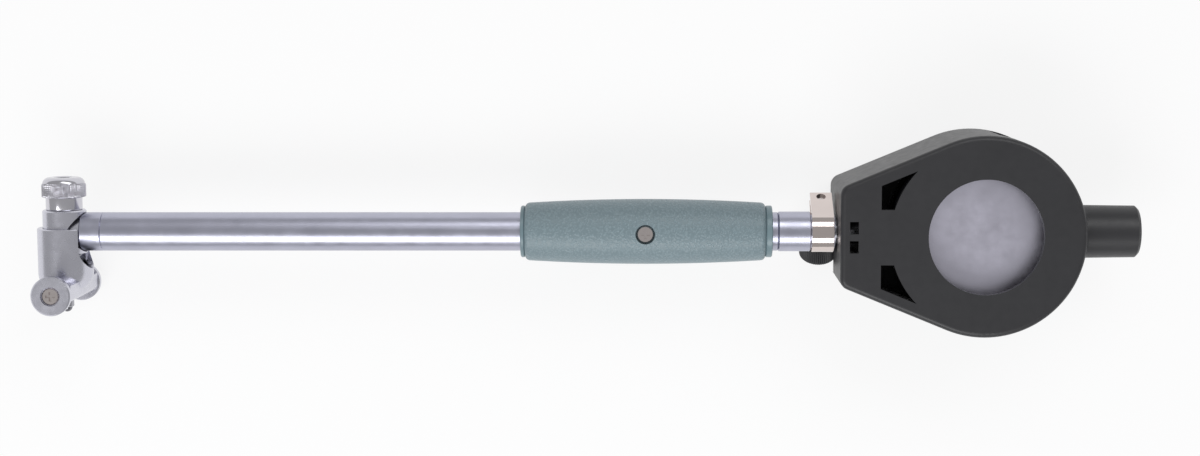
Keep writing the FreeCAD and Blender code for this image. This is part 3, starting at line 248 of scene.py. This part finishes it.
def lathe(place, rows, count, relief=None):
    """A closed ring-shaped mesh. Rows are (along, radius, relief depth), in metres, in a loop."""
    form = bmesh.new()
    rings = []
    for along, radius, depth in rows:
        ring = []
        for step in range(count):
            angle = 2 * math.pi * step / count
            reach = radius - (depth * relief(angle, along) if depth else 0)
            spot = Vector((reach * math.cos(angle), reach * math.sin(angle), along))
            ring.append(form.verts.new(place @ spot))
        rings.append(ring)
    for index, ring in enumerate(rings):
        following = rings[(index + 1) % len(rings)]
        for step in range(count):
            after = (step + 1) % count
            form.faces.new((ring[step], ring[after], following[after], following[step]))
    bmesh.ops.recalc_face_normals(form, faces=form.faces)
    mesh = bpy.data.meshes.new("lathe")
    form.to_mesh(mesh)
    form.free()
    return mesh


def wave(position):
    """0 on the crest and 1 in the groove of a V-shaped knurl."""
    share = position % 1
    return 1 - abs(2 * share - 1)


def diamond_knurl(radius, pitch, lean):
    """Relief of two crossing sets of grooves around a radius."""
    teeth = round(2 * math.pi * radius / pitch)

    def relief(angle, along):
        turns = teeth * angle / (2 * math.pi)
        rise = along * lean / pitch
        return max(wave(turns + rise), wave(turns - rise))
    return relief


def straight_knurl(teeth):
    return lambda angle, along: wave(teeth * angle / (2 * math.pi))


def ramp(low, high, steps):
    return [low + (high - low) * step / steps for step in range(steps + 1)]


# ---------------------------------------------------------------- knurled pieces

def make_lock_nut():
    """Chrome lock nut: polished skirt, diamond knurl, domed top with its bore."""
    low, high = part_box("anvil_nut")
    point, axis = joint_line("lock_nut_turn")
    base = Vector((point.x, low.y, point.z))
    place = axis_frame(base, axis)
    height = high.y - low.y
    crown_r = (high.x - low.x) / 2
    skirt_r, bore_r, thread_r = 5.8 * MM, 2.5 * MM, 4.55 * MM
    skirt_top = 4.15 * MM
    knurl_top = height - 2.1 * MM
    rows = [(0.3 * MM, thread_r + 0.2 * MM, 0), (0, thread_r + 0.5 * MM, 0), (0, skirt_r - 0.25 * MM, 0)]
    rows += [(0.07 * MM, skirt_r - 0.07 * MM, 0), (0.25 * MM, skirt_r, 0)]
    rows += [(skirt_top - 0.15 * MM, skirt_r, 0), (skirt_top, skirt_r + 0.1 * MM, 0)]
    rows += [(skirt_top, crown_r - 0.55 * MM, 0)]
    groove = bevel = 0.3 * MM
    for along in ramp(skirt_top + 0.05 * MM, knurl_top, 34):
        edge = min(along - skirt_top, knurl_top - along)
        easing = max(bevel - edge, 0) * 0.9
        rows.append((along, crown_r - easing, groove))
    dome_r = 4.4 * MM
    for share in ramp(0.06, 1, 9):
        rows.append((knurl_top + (height - knurl_top) * math.sin(share * math.pi / 2),
                     dome_r + (crown_r - 0.4 * MM - dome_r) * math.cos(share * math.pi / 2), 0))
    rows += [(height, bore_r + 0.55 * MM, 0), (height - 0.06 * MM, bore_r + 0.3 * MM, 0)]
    rows += [(height - 0.3 * MM, bore_r, 0), (height - 3.4 * MM, bore_r, 0), (height - 3.4 * MM, thread_r, 0)]
    pitch = 0.62 * MM
    mesh = lathe(place, rows, 480, diamond_knurl(crown_r, pitch, 1.0))
    nut = add_piece("lock_nut_knurled", mesh, "lock_nut", "bright_chrome")
    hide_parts("anvil_nut")


def make_clamp_knob():
    """Black thumb knob with fine straight ribs and a rounded far face."""
    point, axis = joint_line("clamp_screw_turn")
    place = axis_frame(point, axis)
    knob_r, far, near = 6.2 * MM, -17.5 * MM, -9.0 * MM
    shoulder, neck_r, bore_r = 2.22 * MM, 2.5 * MM, 1.52 * MM
    rim, groove, hub_r = 0.9 * MM, 0.28 * MM, 0.05 * MM
    rows = [(far + 0.5 * MM, hub_r, 0), (far + 0.5 * MM, 3.4 * MM, 0), (far + 0.15 * MM, 3.9 * MM, 0)]
    rows += [(far, 4.5 * MM, 0)]
    for share in ramp(0.1, 1, 6):
        angle = share * math.pi / 2
        rows.append((far + rim * (1 - math.cos(angle)), knob_r - rim * (1 - math.sin(angle)), groove * share))
    for along in ramp(far + 1.2 * MM, near - 1.2 * MM, 6):
        rows.append((along, knob_r, groove))
    for share in ramp(0, 1, 6):
        angle = share * math.pi / 2
        rows.append((near - rim * (1 - math.sin(angle)), knob_r - rim * (1 - math.cos(angle)),
                     groove * (1 - share)))
    rows += [(near, neck_r + 0.6 * MM, 0), (near + 0.5 * MM, neck_r, 0), (shoulder, neck_r, 0)]
    rows += [(shoulder, bore_r, 0), (near - 0.4 * MM, bore_r, 0), (near - 0.4 * MM, hub_r, 0)]
    mesh = lathe(place, rows, 432, straight_knurl(54))
    knob = add_piece("clamp_knob_ribbed", mesh, "clamp_thumb_screw", "black_plastic")
    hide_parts("clamp_knob")


def make_bezel():
    """Bezel ring with a straight knurl round its rim."""
    low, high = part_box("bezel")
    point, axis = joint_line("bezel_turn")
    place = axis_frame(Vector((point.x, point.y, 0)), axis)
    rim_r = (high.x - low.x) / 2
    seat_r = 26.05 * MM
    front, back = low.z, high.z
    window_r = 24.4 * MM
    dial_r = 25.72 * MM
    dial_top = back - 2.1 * MM
    lip = front + 0.8 * MM
    face_r, round_r, groove = rim_r - 0.6 * MM, 1.5 * MM, 0.45 * MM
    rows = [(back, seat_r, 0), (back, face_r, 0), (back - 0.3 * MM, rim_r - 0.2 * MM, 0)]
    rows += [(along, rim_r, groove) for along in ramp(back - 0.5 * MM, front + 2.6 * MM, 8)]
    rows += [(front + 2.3 * MM, rim_r - groove, 0), (front + round_r, face_r, 0)]
    for share in ramp(0, 1, 6):
        angle = share * math.pi / 2
        rows.append((front + round_r * (1 - math.sin(angle)), face_r - round_r * (1 - math.cos(angle)), 0))
    rows += [(front, window_r + 0.3 * MM, 0), (front + 0.3 * MM, window_r, 0), (lip, window_r, 0)]
    rows += [(lip, dial_r, 0), (dial_top, dial_r, 0), (dial_top, seat_r, 0)]
    mesh = lathe(place, rows, 720, straight_knurl(120))
    ring = add_piece("bezel_knurled", mesh, "bezel", "satin_aluminium", "black_steel")
    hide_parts("bezel")


def make_spring(node):
    """Coil of spring steel, a copy of the node's mesh that rides on the gauge body."""
    source = NODES[node]
    mesh = source.data.copy()
    mesh.transform(source.matrix_world)
    coil = add_piece(f"{node}_coil", mesh, "gauge", "spring_steel")
    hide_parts(node)
    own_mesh(coil)


def make_springs():
    """Return springs of the rod and of the centring bridge, carried on the gauge body."""
    make_spring("rod_spring")
    make_spring("bridge_spring")


# ---------------------------------------------------------------- printed dial

INK = 0.02 * MM


def dial_mark(form, centre, angle, inner, outer, width, level):
    """One printed stroke, a thin slab on the dial's lower face."""
    along = Vector((math.cos(angle), math.sin(angle), 0))
    across = Vector((-along.y, along.x, 0)) * width / 2
    thickness = Vector((0, 0, INK))
    corners = [centre + along * inner - across, centre + along * outer - across,
               centre + along * outer + across, centre + along * inner + across]
    lower = [form.verts.new(Vector((c.x, c.y, level)) - thickness) for c in corners]
    upper = [form.verts.new(Vector((c.x, c.y, level))) for c in corners]
    form.faces.new(lower[::-1])
    form.faces.new(upper)
    for index in range(4):
        after = (index + 1) % 4
        form.faces.new((lower[index], lower[after], upper[after], upper[index]))


def make_scale(name, body, centre, level, count, reach, lengths, widths):
    """A ring of strokes; every fifth and tenth stroke is longer and wider."""
    form = bmesh.new()
    for index in range(count):
        kind = 2 if index % 10 == 0 else 1 if index % 5 == 0 else 0
        angle = 2 * math.pi * index / count
        dial_mark(form, centre, angle, reach - lengths[kind], reach, widths[kind], level)
    bmesh.ops.recalc_face_normals(form, faces=form.faces)
    mesh = bpy.data.meshes.new(name)
    form.to_mesh(mesh)
    form.free()
    return add_piece(name, mesh, body, "hand_paint")


def make_number(name, body, text, place, size):
    """A printed number that reads upright with the gauge's dial end up."""
    curve = bpy.data.curves.new(name, "FONT")
    curve.body = text
    curve.size = size
    curve.align_x = "CENTER"
    curve.align_y = "CENTER"
    lettering = bpy.data.objects.new(name + "_curve", curve)
    bpy.context.scene.collection.objects.link(lettering)
    mesh = bpy.data.meshes.new_from_object(lettering)
    bpy.data.objects.remove(lettering)
    upright = Matrix(((0, 1, 0, place.x), (1, 0, 0, place.y), (0, 0, -1, place.z), (0, 0, 0, 1)))
    mesh.transform(upright)
    return add_piece(name, mesh, body, "hand_paint")


def make_dial_print():
    """Hundred-part scale with plain numbers, and the ten-part turn counter."""
    centre, _ = joint_line("pointer_turn")
    counter, _ = joint_line("drive_turn")
    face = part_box("dial_ring")[0].z
    ink = face - 0.012 * MM
    lengths, widths = [2.4 * MM, 3.2 * MM, 4.0 * MM], [0.16 * MM, 0.2 * MM, 0.34 * MM]
    make_scale("dial_scale", "bezel", centre, face, 100, 24.0 * MM, lengths, widths)
    number_r, height = 17.6 * MM, 3.4 * MM
    for index in range(10):
        angle = 2 * math.pi * index / 10
        spot = centre + Vector((math.cos(angle), math.sin(angle), 0)) * number_r
        text = str(index * 10)
        make_number(f"dial_number_{text}", "bezel", text, Vector((spot.x, spot.y, ink)), height)
    make_scale("counter_scale", "gauge", counter, face, 10, 4.2 * MM, [0.8 * MM] * 3, [0.16 * MM] * 3)


# ---------------------------------------------------------------- studio and camera

def make_floor():
    """Pale floor that keeps the object's shadow and reads as white."""
    bpy.ops.mesh.primitive_plane_add(size=6, location=(0, 0, 0))
    floor = bpy.context.object
    floor.name = "floor"
    material = bpy.data.materials.new("floor")
    material.use_nodes = True
    tree = material.node_tree
    tree.nodes.clear()
    output = tree.nodes.new("ShaderNodeOutputMaterial")
    paint = tree.nodes.new("ShaderNodeBsdfDiffuse")
    paint.inputs["Color"].default_value = (0.86, 0.86, 0.87, 1)
    glow = tree.nodes.new("ShaderNodeEmission")
    glow.inputs["Strength"].default_value = 1.0
    rays = tree.nodes.new("ShaderNodeLightPath")
    seen = tree.nodes.new("ShaderNodeMath")
    seen.operation = "ADD"
    seen.use_clamp = True
    also = tree.nodes.new("ShaderNodeMath")
    also.operation = "ADD"
    tree.links.new(rays.outputs["Is Camera Ray"], seen.inputs[0])
    tree.links.new(rays.outputs["Is Glossy Ray"], also.inputs[0])
    tree.links.new(rays.outputs["Is Transmission Ray"], also.inputs[1])
    tree.links.new(also.outputs[0], seen.inputs[1])
    share = tree.nodes.new("ShaderNodeMath")
    share.operation = "MULTIPLY"
    share.inputs[1].default_value = 0.82
    tree.links.new(seen.outputs[0], share.inputs[0])
    mix = tree.nodes.new("ShaderNodeMixShader")
    tree.links.new(share.outputs[0], mix.inputs[0])
    tree.links.new(paint.outputs[0], mix.inputs[1])
    tree.links.new(glow.outputs[0], mix.inputs[2])
    tree.links.new(mix.outputs[0], output.inputs["Surface"])
    floor.data.materials.append(material)


def make_world():
    """Soft even daylight, white where the camera or a reflection looks at it."""
    world = bpy.data.worlds.new("studio")
    bpy.context.scene.world = world
    world.use_nodes = True
    tree = world.node_tree
    background = tree.nodes["Background"]
    background.inputs["Color"].default_value = (1, 1, 1, 1)
    rays = tree.nodes.new("ShaderNodeLightPath")
    level = tree.nodes.new("ShaderNodeMapRange")
    level.inputs["To Min"].default_value = 0.45
    level.inputs["To Max"].default_value = 1.0
    tree.links.new(rays.outputs["Is Camera Ray"], level.inputs["Value"])
    tree.links.new(level.outputs[0], background.inputs["Strength"])


def make_lamp(name, place, target, size, power, shape=(1, 1)):
    lamp = bpy.data.lights.new(name, "AREA")
    lamp.shape = "RECTANGLE"
    lamp.size, lamp.size_y = size * shape[0], size * shape[1]
    lamp.energy = power
    holder = bpy.data.objects.new(name, lamp)
    holder.location = place
    holder.rotation_euler = (Vector(target) - Vector(place)).to_track_quat("-Z", "Y").to_euler()
    bpy.context.scene.collection.objects.link(holder)


def make_lamps():
    make_lamp("key", (-0.25, -0.75, 0.85), (0, 0, 0), 0.9, 9, (1.4, 0.6))
    make_lamp("fill", (0.35, 0.75, 0.8), (0, 0, 0), 0.8, 4, (1.4, 0.6))


def make_camera():
    """Camera over the gauge, leaning from its nut side, with the tube level in the frame."""
    sensor, lens = 36.0, 63.0
    distance, lean = 0.682, math.radians(6.2)
    head = JOINTS["lock_nut_turn"]["pos_m"]
    foot = head[0] + 0.190
    aim = Vector((foot, 0.0011, head[2]))
    data = bpy.data.cameras.new("camera")
    data.lens = lens
    data.sensor_width = sensor
    data.shift_x = -50 / 1200
    data.clip_start = 0.01
    camera = bpy.data.objects.new("camera", data)
    camera.location = aim + Vector((0, math.sin(lean), math.cos(lean))) * distance
    camera.rotation_euler = (-lean, 0, 0)
    bpy.context.scene.collection.objects.link(camera)
    bpy.context.scene.camera = camera


dress_frame()
make_lock_nut()
make_clamp_knob()
make_bezel()
make_springs()
make_dial_print()
make_floor()
make_world()
make_lamps()
make_camera()
bpy.context.scene.view_settings.view_transform = "Standard"
